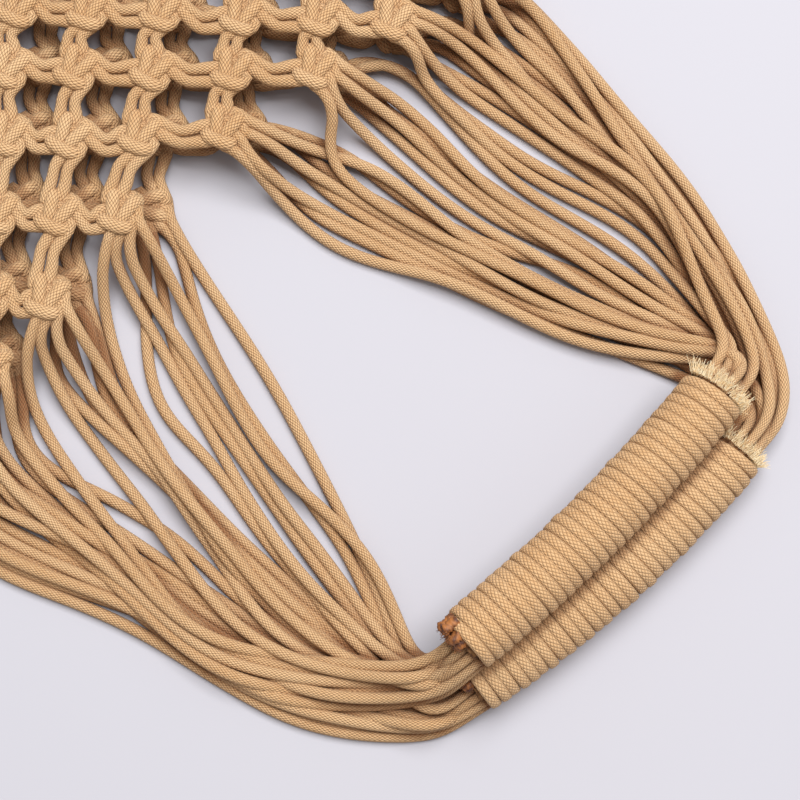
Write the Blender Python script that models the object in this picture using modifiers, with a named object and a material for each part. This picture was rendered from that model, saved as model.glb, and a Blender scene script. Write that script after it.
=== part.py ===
"""Woven rope bag: a knotted net tote of cotton cord, lying flat, with two cord-wrapped handles.

The bag lies on its back face: +X is its width, +Y runs from the handles to the bottom of the net,
+Z is up. Everything is in metres.
"""
import math

import bmesh
import bpy
from mathutils import Matrix, Vector

# Cord and clearances
CORD = 0.0048            # diameter of the braided cotton cord
GAP = 0.0003             # clearance between neighbouring pieces

# Net
COLUMNS = 8              # knots along the mouth of each face
ROWS = 11                # row steps from the mouth to the fold at the bottom
COLUMN_PITCH = 0.040     # between two knots of a row
ROW_PITCH = 0.0185       # between two rows
KNOT_WIDTH = 0.0165      # a knot seen from above
KNOT_THICK = 0.0106
RUN_WIDTH = 0.0104       # two cords side by side, from knot to knot
LAYER_RISE = 0.0162      # the front face lies this much above the back face
FOLD_REACH = 0.022       # the faces close towards each other within this distance of a fold
MOUTH_BOW = 0.015        # the sides of the mouth are drawn this much towards the handles

# Strands between the net and the handles
LOCK_WIDTH = 0.020       # the four cords of one knot, spread out
LOCK_THICK = 0.0070
FRONT_LOCK_RISE = 0.0107  # underside of the front strands above the floor

# Handles
GRIP_LENGTH = 0.142
GRIP_DIAMETER = 0.0265
WRAP_PITCH = 0.0046      # from one turn of the wrapping to the next
WRAP_GROOVE = 0.0008     # depth of the groove between two turns
GRIP_SIDES = 10          # flats round a handle
GRIP_STEPS = 6           # lengths along its bore and its core
ROOT_DIAMETER = 0.0150   # the sixteen cords where they go into a handle
ROOT_REACH = 0.020       # straight stretch of those cords outside the handle
RIM_DIAMETER = 0.033     # the frayed ends round the right end of a handle
RIM_LENGTH = 0.0045
STUB_DIAMETER = 0.0105   # the cut and glued cord ends at the left end of a handle
STUB_LENGTH = 0.0035
STUB_SIDE = (0.6, 0.8)   # the glued end lies to this side of the handle's axis, across and up
LOCK_MEET = 0.75         # the locks meet at this share of the straight stretch outside a handle

SIDE = COLUMNS * COLUMN_PITCH / 2
BOTTOM = ROWS * ROW_PITCH
BACK_LEVEL = KNOT_THICK / 2
FRONT_LEVEL = BACK_LEVEL + LAYER_RISE
MIDDLE = (BACK_LEVEL + FRONT_LEVEL) / 2
FOLD_THICK = (FRONT_LEVEL - MIDDLE) - GAP
FOLD_LEVEL = MIDDLE + GAP + FOLD_THICK / 2
WRAP_TURNS = round(GRIP_LENGTH / WRAP_PITCH)

# How far the mouth is pulled open beside each knot, in shares of the column pitch,
# and how much of that is left in each row
MOUTH_OPENING = [
    {"column": 0.0, "share": 0.0},
    {"column": 0.5, "share": 0.14},
    {"column": 1.5, "share": 0.23},
    {"column": 2.5, "share": 0.12},
    {"column": 3.5, "share": 0.0},
]
OPENING_LEFT = {0: 1.0, 1: 0.6, 2: 0.2}

# Axis of each handle: its middle, its turn in plan, its bow and the height of both ends
GRIPS = {
    "front": {"x": 0.0379, "y": -0.2168, "turn": 4.45, "bow": 0.0036, "left_z": 0.0366, "right_z": 0.0292},
    "back": {"x": 0.0313, "y": -0.2369, "turn": 1.2, "bow": 0.0053, "left_z": 0.01325, "right_z": 0.01325},
}

# Route of the strands of each mouth knot: where they leave and where they come in,
# as distances from the knot and from the handle's end in shares of the strand length
STRAND_LENGTH = 0.210
STRANDS = {
    "front_left": [
        {"column": -0.5, "leave": (0.00, -0.38), "arrive": (-0.09, 0.16)},
        {"column": -1.5, "leave": (-0.01, -0.31), "arrive": (-0.20, 0.14)},
        {"column": -2.5, "leave": (0.00, -0.29), "arrive": (-0.32, 0.09)},
        {"column": -3.5, "leave": (-0.05, -0.32), "arrive": (-0.39, -0.05)},
    ],
    "front_right": [
        {"column": 0.5, "leave": (0.09, -0.31), "arrive": (-0.10, 0.26)},
        {"column": 1.5, "leave": (0.07, -0.31), "arrive": (0.03, 0.31)},
        {"column": 2.5, "leave": (0.08, -0.29), "arrive": (0.11, 0.29)},
        {"column": 3.5, "leave": (0.03, -0.29), "arrive": (0.17, 0.17)},
    ],
    "back_left": [
        {"column": -0.5, "leave": (-0.03, -0.38), "arrive": (-0.11, 0.18)},
        {"column": -1.5, "leave": (-0.04, -0.31), "arrive": (-0.22, 0.15)},
        {"column": -2.5, "leave": (-0.03, -0.29), "arrive": (-0.34, 0.08)},
        {"column": -3.5, "leave": (-0.06, -0.32), "arrive": (-0.42, -0.05)},
    ],
    "back_right": [
        {"column": 0.5, "leave": (0.04, -0.29), "arrive": (-0.03, 0.29)},
        {"column": 1.5, "leave": (0.05, -0.31), "arrive": (0.06, 0.36)},
        {"column": 2.5, "leave": (0.06, -0.29), "arrive": (0.13, 0.36)},
        {"column": 3.5, "leave": (0.04, -0.29), "arrive": (0.18, 0.20)},
    ],
}

# Section of a lock of four cords along its route: width and thickness in shares of
# the lock's own, and how far it has risen from its level to the handle's axis
LOCK_SECTIONS = [
    {"along": 0.0, "width": 0.48, "thick": 1.35, "from_knot": 1.0, "to_grip": 0.0},
    {"along": 0.14, "width": 0.62, "thick": 1.15, "from_knot": 0.45, "to_grip": 0.0},
    {"along": 0.34, "width": 1.0, "thick": 1.0, "from_knot": 0.0, "to_grip": 0.0},
    {"along": 0.56, "width": 1.0, "thick": 1.0, "from_knot": 0.0, "to_grip": 0.0},
    {"along": 0.76, "width": 0.9, "thick": 1.1, "from_knot": 0.0, "to_grip": 0.08},
    {"along": 0.9, "width": 0.62, "thick": 1.3, "from_knot": 0.0, "to_grip": 0.45},
    {"along": 1.0, "width": 0.5, "thick": 1.3, "from_knot": 0.0, "to_grip": 1.0},
]

LEVELS = {
    "front": {"knot": FRONT_LEVEL, "strand": FRONT_LOCK_RISE + LOCK_THICK / 2},
    "back": {"knot": BACK_LEVEL, "strand": LOCK_THICK / 2},
}


def clear_scene():
    for old in list(bpy.data.objects):
        bpy.data.objects.remove(old, do_unlink=True)


def make_collection(name):
    group = bpy.data.collections.new(name)
    bpy.context.scene.collection.children.link(group)
    return group


def make_material(name, colour, roughness):
    material = bpy.data.materials.new(name)
    material.use_nodes = True
    shader = material.node_tree.nodes["Principled BSDF"]
    shader.inputs["Base Color"].default_value = (*colour, 1.0)
    shader.inputs["Roughness"].default_value = roughness
    shader.inputs["Metallic"].default_value = 0.0
    return material


def make_object(name, shape, group, material):
    """Turn a bmesh into a named object with outward faces."""
    bmesh.ops.recalc_face_normals(shape, faces=shape.faces)
    mesh = bpy.data.meshes.new(name)
    shape.to_mesh(mesh)
    shape.free()
    mesh.materials.append(material)
    thing = bpy.data.objects.new(name, mesh)
    group.objects.link(thing)
    return thing


def smooth_share(value):
    value = min(max(value, 0.0), 1.0)
    return value * value * (3 - 2 * value)


def opening_share(column):
    """How far the mouth is pulled open at a column, between the rows of its table."""
    size = min(abs(column), MOUTH_OPENING[-1]["column"])
    for low, high in zip(MOUTH_OPENING, MOUTH_OPENING[1:]):
        if size <= high["column"]:
            part = (size - low["column"]) / (high["column"] - low["column"])
            return math.copysign(low["share"] + part * (high["share"] - low["share"]), column)
    return 0.0


def knot_place(column, row):
    """Middle of a knot in plan."""
    x = column + opening_share(column) * OPENING_LEFT.get(row, 0.0)
    pull = math.sin(math.pi * column / COLUMNS) ** 2
    y = row * ROW_PITCH - MOUTH_BOW * pull * (1 - row / ROWS)
    return Vector((x * COLUMN_PITCH, y))


def net_knots():
    """Columns and rows of all knots of a face: odd rows reach the folds at both sides."""
    knots = []
    for row in range(ROWS + 1):
        count = COLUMNS if row % 2 == 0 else COLUMNS + 1
        knots += [(index - (count - 1) / 2, row) for index in range(count)]
    return knots


def sheet_level(spot, thick):
    """Height and thickness of the front face at a place: both lessen towards the folds."""
    inside = smooth_share(min(SIDE - abs(spot.x), BOTTOM - spot.y) / FOLD_REACH)
    level = FOLD_LEVEL + inside * (FRONT_LEVEL - FOLD_LEVEL)
    return level, min(thick, FOLD_THICK + inside * (KNOT_THICK - FOLD_THICK))


def build_net(name, face, group, material):
    """One face of the net: knots joined by double runs of cord, with open meshes between them."""
    shape = bmesh.new()
    thickness = {}
    reach = KNOT_WIDTH / 2
    toward = {"right": (1, 0), "left": (-1, 0), "mouth": (0, -1), "bottom": (0, 1)}

    def add_point(spot, thick):
        level, thick = sheet_level(spot, thick)
        if face == "back":
            level = 2 * MIDDLE - level
        point = shape.verts.new((spot.x, spot.y, level))
        thickness[point] = thick
        return point

    corners = {}
    for column, row in net_knots():
        middle = knot_place(column, row)
        found = {}
        for side, (dx, dy) in toward.items():
            beyond_side = dx * column >= COLUMNS / 2
            beyond_bottom = dy > 0 and row == ROWS
            if not beyond_side and not beyond_bottom:
                found[side] = add_point(middle + Vector((dx, dy)) * reach, KNOT_THICK)
        ring = [found[side] for side in ("right", "mouth", "left", "bottom") if side in found]
        if len(ring) == 2:
            ring.append(add_point(middle, KNOT_THICK))
        shape.faces.new(ring)
        corners[column, row] = found

    for (column, row), start in list(corners.items()):
        for step, near, far in ((0.5, "right", "left"), (-0.5, "left", "right")):
            end = corners.get((column + step, row + 1))
            if end is None:
                continue
            first = knot_place(column, row)
            last = knot_place(column + step, row + 1)
            along = (last - first).normalized()
            aside = Vector((-along.y, along.x)) * (RUN_WIDTH / 2)
            if aside.x * step < 0:
                aside = -aside
            outer = add_point((first + last) / 2 + aside, CORD)
            inner = add_point((first + last) / 2 - aside, CORD)
            shape.faces.new((start["bottom"], inner, outer, start[near]))
            shape.faces.new((inner, end[far], end["mouth"], outer))

    weights = [thickness[point] for point in shape.verts]
    shape.verts.index_update()
    net = make_object(name, shape, group, material)
    thin = CORD / KNOT_THICK
    full = net.vertex_groups.new(name="full thickness")
    for index, thick in enumerate(weights):
        full.add([index], (thick / KNOT_THICK - thin) / (1 - thin), "REPLACE")
    shell = net.modifiers.new("cord thickness", "SOLIDIFY")
    shell.thickness = KNOT_THICK
    shell.offset = 0.0
    shell.vertex_group = full.name
    shell.thickness_vertex_group = thin
    return net


def add_ring(shape, middle, across, up, width, height, sides, start=0.0):
    """A ring of points round a middle, in the plane of two directions."""
    points = []
    for index in range(sides):
        angle = start + 2 * math.pi * index / sides
        offset = across * (math.cos(angle) * width / 2) + up * (math.sin(angle) * height / 2)
        points.append(shape.verts.new(middle + offset))
    return points


def skin(shape, rings, closed):
    """Faces between successive rings, with flat ends or joined into a loop."""
    pairs = list(zip(rings, rings[1:]))
    if closed:
        pairs.append((rings[-1], rings[0]))
    for low, high in pairs:
        for index in range(len(low)):
            after = (index + 1) % len(low)
            shape.faces.new((low[index], low[after], high[after], high[index]))
    if not closed:
        shape.faces.new(rings[0])
        shape.faces.new(rings[-1])


def grip_axis(side, along):
    """Point, direction, across and up of a handle's axis; along runs from -1 to 1, left to right."""
    grip = GRIPS[side]
    radius = GRIP_LENGTH ** 2 / (8 * grip["bow"])
    angle = along * math.asin(GRIP_LENGTH / (2 * radius))
    slope = (grip["right_z"] - grip["left_z"]) / GRIP_LENGTH
    local = Vector((radius * math.sin(angle), radius * (1 - math.cos(angle)), 0.0))
    local.z = (grip["left_z"] + grip["right_z"]) / 2 + slope * local.x
    turn = Matrix.Rotation(math.radians(grip["turn"]), 3, "Z")
    direction = (turn @ Vector((math.cos(angle), math.sin(angle), slope))).normalized()
    across = Vector((0, 0, 1)).cross(direction).normalized()
    point = turn @ local + Vector((grip["x"], grip["y"], 0.0))
    return point, direction, across, direction.cross(across)


def build_grip_wrap(name, side, group, material):
    """The wrapping of a handle: turns of cord side by side round a hollow."""
    shape = bmesh.new()
    bore = GRIP_DIAMETER - 2 * CORD
    outer = []
    for index in range(2 * WRAP_TURNS + 1):
        point, _, across, up = grip_axis(side, index / WRAP_TURNS - 1)
        size = GRIP_DIAMETER if index % 2 else GRIP_DIAMETER - 2 * WRAP_GROOVE
        outer.append(add_ring(shape, point, across, up, size, size, GRIP_SIDES))
    inner = []
    for index in range(GRIP_STEPS + 1):
        point, _, across, up = grip_axis(side, 1 - 2 * index / GRIP_STEPS)
        inner.append(add_ring(shape, point, across, up, bore, bore, GRIP_SIDES))
    skin(shape, outer + inner, closed=True)
    return make_object(name, shape, group, material)


def build_grip_core(name, side, group, material):
    """The stiff core inside the wrapping, flush with its ends."""
    shape = bmesh.new()
    size = GRIP_DIAMETER - 2 * CORD - 2 * GAP
    rings = []
    for index in range(GRIP_STEPS + 1):
        point, _, across, up = grip_axis(side, 2 * index / GRIP_STEPS - 1)
        rings.append(add_ring(shape, point, across, up, size, size, GRIP_SIDES))
    skin(shape, rings, closed=False)
    return make_object(name, shape, group, material)


def grip_end(side, hand):
    """Middle of a handle's end, its outward direction, across and up."""
    point, direction, across, up = grip_axis(side, -1 if hand == "left" else 1)
    outward = -direction if hand == "left" else direction
    return point, outward, across, up


def root_place(side, hand):
    """Where the cords go into a handle: in the middle on the right, below the glued stub on the left."""
    point, outward, across, up = grip_end(side, hand)
    if hand == "left":
        shift = (GRIP_DIAMETER - ROOT_DIAMETER) / 2
        point = point - across * (shift * STUB_SIDE[0]) - up * (shift * STUB_SIDE[1])
    return point, outward, across, up


def clear_of_front_grip(spot):
    """A point of the back handle's fibres, pressed aside by the front handle that lies on them."""
    above, direction, _, _ = grip_axis("front", 1.0)
    apart = spot - above
    apart -= direction * apart.dot(direction)
    least = GRIP_DIAMETER / 2 + 3 * GAP
    if apart.length < least:
        spot = spot + apart.normalized() * (least - apart.length)
    return spot


def build_frayed_rim(name, side, group, material):
    """Frayed cord ends that fan out round the cords at the right end of a handle."""
    shape = bmesh.new()
    point, outward, across, up = grip_end(side, "right")
    bore = ROOT_DIAMETER + 4 * GAP
    sizes = [
        {"along": GAP, "size": bore},
        {"along": GAP, "size": GRIP_DIAMETER},
        {"along": RIM_LENGTH, "size": RIM_DIAMETER},
        {"along": RIM_LENGTH * 0.85, "size": RIM_DIAMETER * 0.86},
        {"along": RIM_LENGTH * 0.5, "size": bore},
    ]
    rings = []
    for row in sizes:
        ring = add_ring(shape, point + outward * row["along"], across, up, row["size"], row["size"], 12)
        for vertex in ring:
            if side == "back":
                vertex.co = clear_of_front_grip(vertex.co)
            vertex.co.z = max(vertex.co.z, point.z - GRIP_DIAMETER / 2)
        rings.append(ring)
    skin(shape, rings, closed=True)
    return make_object(name, shape, group, material)


def build_glued_end(name, side, group, material):
    """Cut cord ends, stiff with glue, beside the cords at the left end of a handle."""
    shape = bmesh.new()
    point, outward, across, up = grip_end(side, "left")
    shift = (GRIP_DIAMETER - STUB_DIAMETER) / 2 - GAP
    middle = point + across * (shift * STUB_SIDE[0]) + up * (shift * STUB_SIDE[1])
    sizes = [
        {"along": GAP, "share": 1.0},
        {"along": STUB_LENGTH * 0.7, "share": 1.0},
        {"along": STUB_LENGTH, "share": 0.7},
    ]
    rings = []
    for row in sizes:
        size = STUB_DIAMETER * row["share"]
        rings.append(add_ring(shape, middle + outward * row["along"], across, up, size, size, 8))
    skin(shape, rings, closed=False)
    return make_object(name, shape, group, material)


def lock_point(route, along):
    """A point of a cubic curve through four guide points."""
    rest = 1 - along
    first, second, third, last = route
    return (first * rest ** 3 + second * (3 * rest ** 2 * along)
            + third * (3 * rest * along ** 2) + last * along ** 3)


def build_lock(row, side, hand, root, group, material):
    """The four cords of one mouth knot, as one lock from the knot to the handle."""
    shape = bmesh.new()
    middle = knot_place(row["column"], 0)
    point, outward, _, _ = root
    target = point + outward * (ROOT_REACH * LOCK_MEET)
    start = Vector((middle.x, middle.y - KNOT_WIDTH / 2 - GAP))
    end = target.xy
    leave = start + Vector(row["leave"]) * STRAND_LENGTH
    arrive = end + Vector(row["arrive"]) * STRAND_LENGTH
    route = (start, leave, arrive, end)
    level = LEVELS[side]
    rings = []
    for section in LOCK_SECTIONS:
        along = section["along"]
        ahead = lock_point(route, min(along + 0.01, 1.0)) - lock_point(route, max(along - 0.01, 0.0))
        across = Vector((-ahead.y, ahead.x, 0.0)).normalized()
        width = LOCK_WIDTH * section["width"]
        thick = LOCK_THICK * section["thick"]
        height = level["strand"] + (thick - LOCK_THICK) / 2
        height += (level["knot"] - height) * section["from_knot"]
        height += (target.z - height) * section["to_grip"]
        spot = lock_point(route, along)
        place = Vector((spot.x, spot.y, height))
        tall = thick / math.sin(math.pi / 3)
        if along == 0.0:
            across = Vector((1.0, 0.0, 0.0))
        rings.append(add_ring(shape, place, across, Vector((0, 0, 1)), width, tall, 6))
    skin(shape, rings, closed=False)
    bmesh.ops.triangulate(shape, faces=shape.faces)
    return make_object("lock", shape, group, material)


def build_strands(name, side, hand, groups, material):
    """The strands of four mouth knots, fused where they go into the handle."""
    group, tools = groups
    root = root_place(side, hand)
    point, outward, across, up = root
    shape = bmesh.new()
    rings = []
    for row in ({"along": GAP, "share": 1.0}, {"along": ROOT_REACH * 0.8, "share": 1.0},
                {"along": ROOT_REACH, "share": 0.7}):
        size = ROOT_DIAMETER * row["share"]
        rings.append(add_ring(shape, point + outward * row["along"], across, up, size, size, 10, 0.1))
    skin(shape, rings, closed=False)
    strands = make_object(name, shape, group, material)
    for row in STRANDS[f"{side}_{hand}"]:
        lock = build_lock(row, side, hand, root, tools, material)
        lock.name = f"{name} lock {row['column']}"
        lock.hide_render = True
        lock.display_type = "WIRE"
        join = strands.modifiers.new("fuse", "BOOLEAN")
        join.operation = "UNION"
        join.solver = "EXACT"
        join.object = lock
    return strands


def stand_on_floor(things):
    """Move everything so that the origin is the middle of its box, on the floor."""
    bpy.context.view_layer.update()
    graph = bpy.context.evaluated_depsgraph_get()
    corners = []
    for thing in things:
        mesh = thing.evaluated_get(graph).to_mesh()
        corners += [thing.matrix_world @ vertex.co for vertex in mesh.vertices]
        thing.evaluated_get(graph).to_mesh_clear()
    low = [min(corner[axis] for corner in corners) for axis in range(3)]
    high = [max(corner[axis] for corner in corners) for axis in range(3)]
    return Vector((-(low[0] + high[0]) / 2, -(low[1] + high[1]) / 2, -low[2]))


def main():
    clear_scene()
    group = make_collection("woven rope bag")
    tools = make_collection("cutters")
    net_cord = make_material("knotted cotton cord", (0.60, 0.37, 0.19), 0.9)
    strand_cord = make_material("cotton strands", (0.58, 0.35, 0.17), 0.9)
    wrap_cord = make_material("wrapped cotton cord", (0.63, 0.42, 0.23), 0.9)
    core_stuff = make_material("bundled core", (0.45, 0.30, 0.17), 0.9)
    fray = make_material("frayed cotton", (0.80, 0.62, 0.38), 0.95)
    glue = make_material("glued cord ends", (0.16, 0.06, 0.02), 0.6)

    things = []
    for side in ("front", "back"):
        things.append(build_net(f"net_{side}", side, group, net_cord))
        for hand in ("left", "right"):
            things.append(build_strands(f"strands_{side}_{hand}", side, hand, (group, tools), strand_cord))
        things.append(build_grip_wrap(f"grip_wrap_{side}", side, group, wrap_cord))
        things.append(build_grip_core(f"grip_core_{side}", side, group, core_stuff))
        things.append(build_frayed_rim(f"frayed_rim_{side}", side, group, fray))
        things.append(build_glued_end(f"glued_end_{side}", side, group, glue))

    shift = stand_on_floor(things)
    for thing in things + list(tools.objects):
        thing.location += shift


main()
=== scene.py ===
import math
import random

import bpy
import numpy as np
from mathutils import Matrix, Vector


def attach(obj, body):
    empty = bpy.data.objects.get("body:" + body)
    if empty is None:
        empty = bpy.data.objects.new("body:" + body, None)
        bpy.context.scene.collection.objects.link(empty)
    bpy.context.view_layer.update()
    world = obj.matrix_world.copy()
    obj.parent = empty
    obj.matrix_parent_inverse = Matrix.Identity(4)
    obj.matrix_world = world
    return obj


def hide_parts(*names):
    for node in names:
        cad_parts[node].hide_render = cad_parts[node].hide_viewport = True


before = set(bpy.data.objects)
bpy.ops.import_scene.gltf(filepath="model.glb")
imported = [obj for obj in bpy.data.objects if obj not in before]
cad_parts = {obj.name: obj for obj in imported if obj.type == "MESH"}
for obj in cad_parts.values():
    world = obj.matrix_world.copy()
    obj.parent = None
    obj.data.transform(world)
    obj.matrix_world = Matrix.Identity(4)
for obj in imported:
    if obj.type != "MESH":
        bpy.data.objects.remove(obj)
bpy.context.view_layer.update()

# Everything is in metres, in the frame of the part: +Y runs from the handles to the
# bottom of the net, +Z is up.

cord = {
    "diameter": 0.0048,
    "sides": 10,               # of the mesh round a cord
    "knotStep": 0.0014,        # distance between rings in a knot
}

view = {
    "azimuth": -40.1,
    "elevation": 82.3,
    "distance": 0.748,
    "lens": 85.0,
    "target": (0.0109, -0.1070, 0.0215),
    "pixels": 800,
    "sensor": 36.0,
}


# where the camera stands, and its right, up and backward directions
def cameraAxes():
    a = math.radians(view["azimuth"])
    e = math.radians(view["elevation"])
    back = np.array([math.sin(a) * math.cos(e), -math.cos(a) * math.cos(e), math.sin(e)])
    right = np.array([math.cos(a), math.sin(a), 0.0])
    place = np.array(view["target"]) + back * view["distance"]
    return place, right, np.cross(back, right), back


# the point at a height above the floor that shows at a pixel of the 800 by 800 photo
def fromPhoto(px, py, height):
    place, right, up, back = cameraAxes()
    scale = view["sensor"] / view["lens"] / view["pixels"]
    half = view["pixels"] / 2
    ray = right * (px - half) * scale + up * (half - py) * scale - back
    return place + ray * (height - place[2]) / ray[2]


def unit(vector):
    return vector / np.linalg.norm(vector)


def smooth(value):
    value = np.clip(value, 0.0, 1.0)
    return value * value * (3 - 2 * value)


def lengths(points):
    return np.concatenate([[0], np.cumsum(np.linalg.norm(np.diff(points, axis=0), axis=1))])


def resample(points, count):
    run = lengths(points)
    at = np.linspace(0, run[-1], count)
    return np.stack([np.interp(at, run, points[:, axis]) for axis in range(3)], 1)


# a smooth curve through chosen points
def throughPoints(points, between=8):
    p = np.asarray(points, float)
    p = np.vstack([2 * p[0] - p[1], p, 2 * p[-1] - p[-2]])
    t = np.linspace(0, 1, between, endpoint=False)[:, None]
    out = []
    for a, b, c, d in zip(p, p[1:], p[2:], p[3:]):
        out.append(0.5 * (2 * b + (c - a) * t + (2 * a - 5 * b + 4 * c - d) * t ** 2
                          + (3 * b - a - 3 * c + d) * t ** 3))
    out.append(p[-2:-1])
    return np.vstack(out)


# round sections along a path, carried along without twist; the first one starts at
# startUp, and the last one is turned to endUp where that is given
def sections(path, radius, sides, startUp, endUp=None):
    path = np.asarray(path, float)
    tangent = np.gradient(path, axis=0)
    tangent /= np.linalg.norm(tangent, axis=1)[:, None]
    ups = []
    up = np.asarray(startUp, float)
    for t in tangent:
        up = up - t * (up @ t)
        up = up / np.linalg.norm(up)
        ups.append(up)
    ups = np.array(ups)
    sides3 = np.cross(ups, tangent)
    turn = np.zeros(len(path))
    if endUp is not None:
        wanted = np.asarray(endUp, float)
        angle = math.atan2(wanted @ sides3[-1], wanted @ ups[-1])
        turn = angle * np.linspace(0, 1, len(path))
    theta = np.arange(sides) * 2 * math.pi / sides
    angle = theta[None] + turn[:, None]
    radius = np.broadcast_to(np.asarray(radius, float), (len(path),))
    ring = (np.cos(angle)[..., None] * ups[:, None] + np.sin(angle)[..., None] * sides3[:, None])
    return ring * radius[:, None, None]


knot = {
    "squash": 0.56,            # a tightened knot is this much flatter than round cord would be
    "flatten": 0.90,           # and its cords are pressed this flat
    "fat": 1.22,               # and spread this wide
    "pressed": 0.74,           # distance of neighbouring cords in a knot, in diameters
    "runOut": (1.35, 2.83),    # between these distances, in diameters, a knot turns into a run
    "steps": 500,
    "turn": 26.0,              # degrees that the knots are turned in the net
    "turnSpread": 7.0,
}
# half of each path in a square knot, in cord diameters, from the bottom side to its middle
leftWorking = [(-2.417, 1.555, 0.0), (-1.9, 1.0, 0.4), (-1.2, 0.75, 1.1), (0.0, 0.8, 1.3), (0.9, 1.0, 1.0),
               (1.35, 1.2, 0.0), (1.4, 0.8, -1.3), (1.35, 0.0, -2.0)]
leftCore = [(-1.737, 2.289, 0.0), (-0.8, 1.5, 0.0), (-0.52, 0.8, 0.0), (-0.5, 0.0, 0.0)]


def wholePath(half):
    half = np.array(half)
    return np.vstack([half * (1, 1, 1), half[-2::-1] * (1, -1, 1)])


# the four cords of a knot, pulled tight: each one shortens while they keep a diameter apart
def tieKnot():
    spin = np.array([-1, 1, -1])
    start = {
        "leftWorking": wholePath(leftWorking),
        "leftCore": wholePath(leftCore),
        "rightCore": wholePath(leftCore) * spin,
        "rightWorking": wholePath(leftWorking) * spin,
    }
    step = 0.28
    names = list(start)
    cords = [throughPoints(start[name]) for name in names]
    for turn in range(knot["steps"]):
        if turn % 20 == 0:
            cords = [resample(c, int(round(lengths(c)[-1] / step)) + 1) for c in cords]
            which = np.concatenate([np.full(len(c), k) for k, c in enumerate(cords)])
            index = np.concatenate([np.arange(len(c)) for c in cords])
            close = (which[:, None] == which) & (np.abs(index[:, None] - index) * step < 1.75)
            ends = np.concatenate([[0], np.cumsum([len(c) for c in cords])])
        for c in cords:
            c[1:-1] += 0.35 * ((c[:-2] + c[2:]) / 2 - c[1:-1])
        for _ in range(2):
            points = np.vstack(cords)
            apart = points[:, None] - points[None]
            far = np.linalg.norm(apart, axis=2) + 1e-9
            hit = (far < knot["pressed"]) & ~close
            push = np.where(hit[..., None], apart / far[..., None] * (knot["pressed"] - far)[..., None], 0.0)
            move = push.sum(1) / np.maximum(hit.sum(1), 1)[:, None] * 0.6
            for k, c in enumerate(cords):
                c[1:-1] += move[ends[k] + 1:ends[k + 1] - 1]
    return {name: c[::-1].copy() for name, c in zip(names, cords)}   # from the mouth side on


tied = {}
diagonal = unit(np.array([2.077, 1.922]))


# each path of the knot, and how far each of its points belongs to the runs outside
def prepareKnot():
    for name, path in tieKnot().items():
        count = int(round(lengths(path)[-1] * cord["diameter"] / cord["knotStep"]))
        path = resample(path, count)
        away = np.linalg.norm(path[:, :2], axis=1)
        low, high = knot["runOut"]
        reach = np.minimum(lengths(path), lengths(path)[-1] - lengths(path))
        run = smooth((away - low) / (high - low)) * smooth((2.6 - reach) / 1.6)
        run[0] = run[-1] = 1.0
        tied[name] = {"path": path, "run": run, "half": (np.arange(count) >= count / 2).astype(int)}


net = {
    "mouthY": 0.02304,         # the mouth row of the net
    "columns": 8,
    "rows": 11,
    "columnPitch": 0.040,
    "rowPitch": 0.0185,
    "mouthBow": 0.015,
    "frontLevel": 0.0215,
    "backLevel": 0.0053,
    "foldReach": 0.022,
    "foldInset": 0.003,
    "backShift": 0.010,        # the back net lies this much further to the right
    "bowAcross": 0.0046,       # how far the runs sag, towards the handles
    "bowDown": 0.0030,
    "jitter": 0.0008,
}
mouthOpening = [(0.0, 0.0), (0.5, 0.14), (1.5, 0.23), (2.5, 0.12), (3.5, 0.0), (4.0, 0.0)]
openingLeft = {0: 1.0, 1: 0.6, 2: 0.2}
# knots of the upper face where the photo shows them
seenKnots = [
    {"column": -0.5, "row": 0, "pixel": (125, 207)},
    {"column": 0.5, "row": 0, "pixel": (228, 130)},
    {"column": 1.5, "row": 0, "pixel": (312, 67)},
    {"column": 2.5, "row": 0, "pixel": (390, 15)},
    {"column": -1.5, "row": 0, "pixel": (50, 300)},
    {"column": 0, "row": 1, "pixel": (145, 130)},
    {"column": 1, "row": 1, "pixel": (233, 67)},
    {"column": 2, "row": 1, "pixel": (325, 10)},
    {"column": -1, "row": 1, "pixel": (52, 215)},
    {"column": 0.5, "row": 2, "pixel": (153, 67)},
    {"column": -0.5, "row": 2, "pixel": (68, 135)},
    {"column": 1.5, "row": 2, "pixel": (243, 15)},
    {"column": 0, "row": 3, "pixel": (72, 65)},
    {"column": 1, "row": 3, "pixel": (160, 15)},
    {"column": -1, "row": 3, "pixel": (12, 140)},
    {"column": 0.5, "row": 4, "pixel": (88, 5)},
    {"column": -0.5, "row": 4, "pixel": (10, 60)},
    {"column": 0, "row": 5, "pixel": (20, 10)},
]


def gridPlace(column, row):
    shares = [share for _, share in mouthOpening]
    opening = np.interp(abs(column), [c for c, _ in mouthOpening], shares)
    x = column + math.copysign(opening, column) * openingLeft.get(row, 0.0)
    pull = math.sin(math.pi * column / net["columns"]) ** 2
    y = row * net["rowPitch"] - net["mouthBow"] * pull * (1 - row / net["rows"])
    return np.array([x * net["columnPitch"], y + net["mouthY"]])


# how far the real knots near a place are from the even grid
def seenShift(spot, known):
    pull = np.array([math.exp(-np.sum((spot - at) ** 2) / 0.034 ** 2) for at, _ in known])
    total = (pull[:, None] * np.array([shift for _, shift in known])).sum(0)
    return total / (pull.sum() + 0.12)


around = 4 * net["columns"]                      # half columns round both faces
half = around // 2
side = net["columns"] * net["columnPitch"] / 2
middle = (net["frontLevel"] + net["backLevel"]) / 2
knots = {}
edges = {}


def addKnot(key, place, across, down, outward, rng):
    turn = math.radians(knot["turn"] + rng.uniform(-1, 1) * knot["turnSpread"])
    across, down, outward = (np.array(v, float) for v in (across, down, outward))
    x = across * math.cos(turn) + down * math.sin(turn)
    y = down * math.cos(turn) - across * math.sin(turn)
    knots[key] = {"key": key, "place": np.array(place, float), "axes": np.array([x, y, outward])}


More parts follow.
